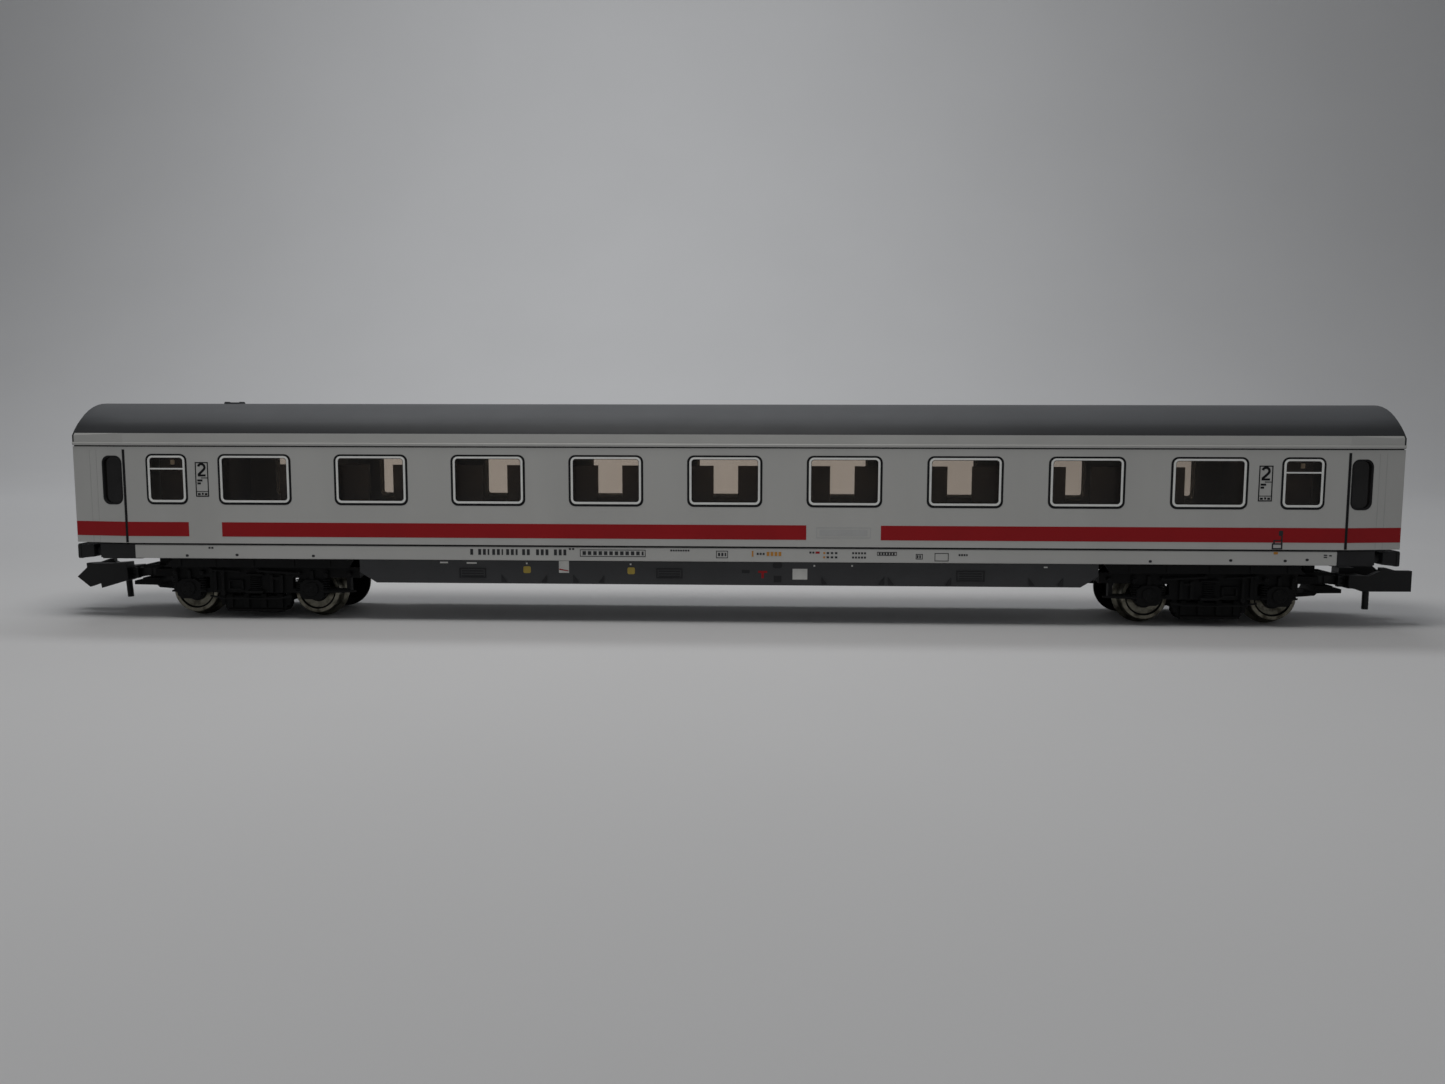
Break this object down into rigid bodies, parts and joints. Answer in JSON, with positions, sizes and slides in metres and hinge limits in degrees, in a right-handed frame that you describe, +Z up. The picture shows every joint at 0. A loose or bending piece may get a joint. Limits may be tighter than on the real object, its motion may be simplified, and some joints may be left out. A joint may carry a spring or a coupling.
{
  "type": "model passenger coach",
  "caption": "Scale model railway passenger coach with compartment windows, running on swivelling bogies with hook couplers at both ends.",
  "frame": {"origin": "wheel-flange level, midway along the coach and midway across it", "axes": "+X along the coach, +Y across it towards the compartment side, +Z up; the corridor side faces -Y"},
  "size_m": [0.1715, 0.0178, 0.0272],
  "materials": {
    "light_grey": "satin light grey paint",
    "roof_grey": "satin dark grey",
    "glazing": "clear, lightly tinted",
    "interior_brown": "matt dark brown",
    "weight_steel": "dull",
    "dark_grey": "satin anthracite",
    "rubber": "matt black",
    "screw_steel": "dark machined",
    "black": "matt black",
    "axle_steel": "blackened",
    "nickel": "turned, nickel plated",
    "coupler_black": "matt black"
  },
  "bodies": {
    "coach": {"body_shell": "light_grey", "roof": "roof_grey", "roof_vent": "roof_grey", "glazing_near": "glazing", "glazing_far": "glazing", "interior": "interior_brown", "ballast_weight": "weight_steel", "chassis": "light_grey", "equipment_skirt": "dark_grey", "equipment_box": "dark_grey", "air_tank_left": "dark_grey", "air_tank_right": "dark_grey", "buffer_beam_left": "dark_grey", "buffer_left_a": "dark_grey", "buffer_left_b": "dark_grey", "gangway_left": "rubber", "pivot_screw_left": "screw_steel", "buffer_beam_right": "dark_grey", "buffer_right_a": "dark_grey", "buffer_right_b": "dark_grey", "gangway_right": "rubber", "pivot_screw_right": "screw_steel"},
    "bogie_left": {"bogie_frame_left": "black", "brake_rig_left": "black", "coupler_clip_left": "black"},
    "bogie_right": {"bogie_frame_right": "black", "brake_rig_right": "black", "coupler_clip_right": "black"},
    "wheelset_1": {"axle_1": "axle_steel", "wheel_1_near": "nickel", "wheel_1_far": "nickel"},
    "wheelset_2": {"axle_2": "axle_steel", "wheel_2_near": "nickel", "wheel_2_far": "nickel"},
    "wheelset_3": {"axle_3": "axle_steel", "wheel_3_near": "nickel", "wheel_3_far": "nickel"},
    "wheelset_4": {"axle_4": "axle_steel", "wheel_4_near": "nickel", "wheel_4_far": "nickel"},
    "coupler_arm_left": {"coupler_swing_left": "coupler_black"},
    "coupler_left": {"coupler_head_left": "coupler_black", "coupler_pin_left": "coupler_black"},
    "coupler_arm_right": {"coupler_swing_right": "coupler_black"},
    "coupler_right": {"coupler_head_right": "coupler_black", "coupler_pin_right": "coupler_black"}
  },
  "joints": [
    {"name": "bogie_left_swivel", "type": "hinge", "parent": "coach", "child": "bogie_left", "pos_m": [-0.0594, 0, 0.006], "axis": [0, 0, 1], "range_deg": [-18, 18]},
    {"name": "bogie_right_swivel", "type": "hinge", "parent": "coach", "child": "bogie_right", "pos_m": [0.0594, 0, 0.006], "axis": [0, 0, 1], "range_deg": [-18, 18]},
    {"name": "wheelset_1_spin", "type": "hinge", "parent": "bogie_left", "child": "wheelset_1", "pos_m": [-0.0672, 0, 0.0034], "axis": [0, 1, 0], "continuous": true},
    {"name": "wheelset_2_spin", "type": "hinge", "parent": "bogie_left", "child": "wheelset_2", "pos_m": [-0.0516, 0, 0.0034], "axis": [0, 1, 0], "continuous": true},
    {"name": "wheelset_3_spin", "type": "hinge", "parent": "bogie_right", "child": "wheelset_3", "pos_m": [0.0516, 0, 0.0034], "axis": [0, 1, 0], "continuous": true},
    {"name": "wheelset_4_spin", "type": "hinge", "parent": "bogie_right", "child": "wheelset_4", "pos_m": [0.0672, 0, 0.0034], "axis": [0, 1, 0], "continuous": true},
    {"name": "coupler_left_swing", "type": "hinge", "parent": "bogie_left", "child": "coupler_arm_left", "pos_m": [-0.0752, 0, 0.005], "axis": [0, 0, 1], "range_deg": [-20, 20], "stiffness_Nm_per_rad": 0.0002},
    {"name": "coupler_left_lift", "type": "hinge", "parent": "coupler_arm_left", "child": "coupler_left", "pos_m": [-0.0776, 0, 0.00497], "axis": [0, 1, 0], "range_deg": [0, 8], "stiffness_Nm_per_rad": 0.0001, "springref_deg": -5.73},
    {"name": "coupler_right_swing", "type": "hinge", "parent": "bogie_right", "child": "coupler_arm_right", "pos_m": [0.0752, 0, 0.005], "axis": [0, 0, 1], "range_deg": [-20, 20], "stiffness_Nm_per_rad": 0.0002},
    {"name": "coupler_right_lift", "type": "hinge", "parent": "coupler_arm_right", "child": "coupler_right", "pos_m": [0.0776, 0, 0.00497], "axis": [0, -1, 0], "range_deg": [0, 8], "stiffness_Nm_per_rad": 0.0001, "springref_deg": -5.73}
  ]
}
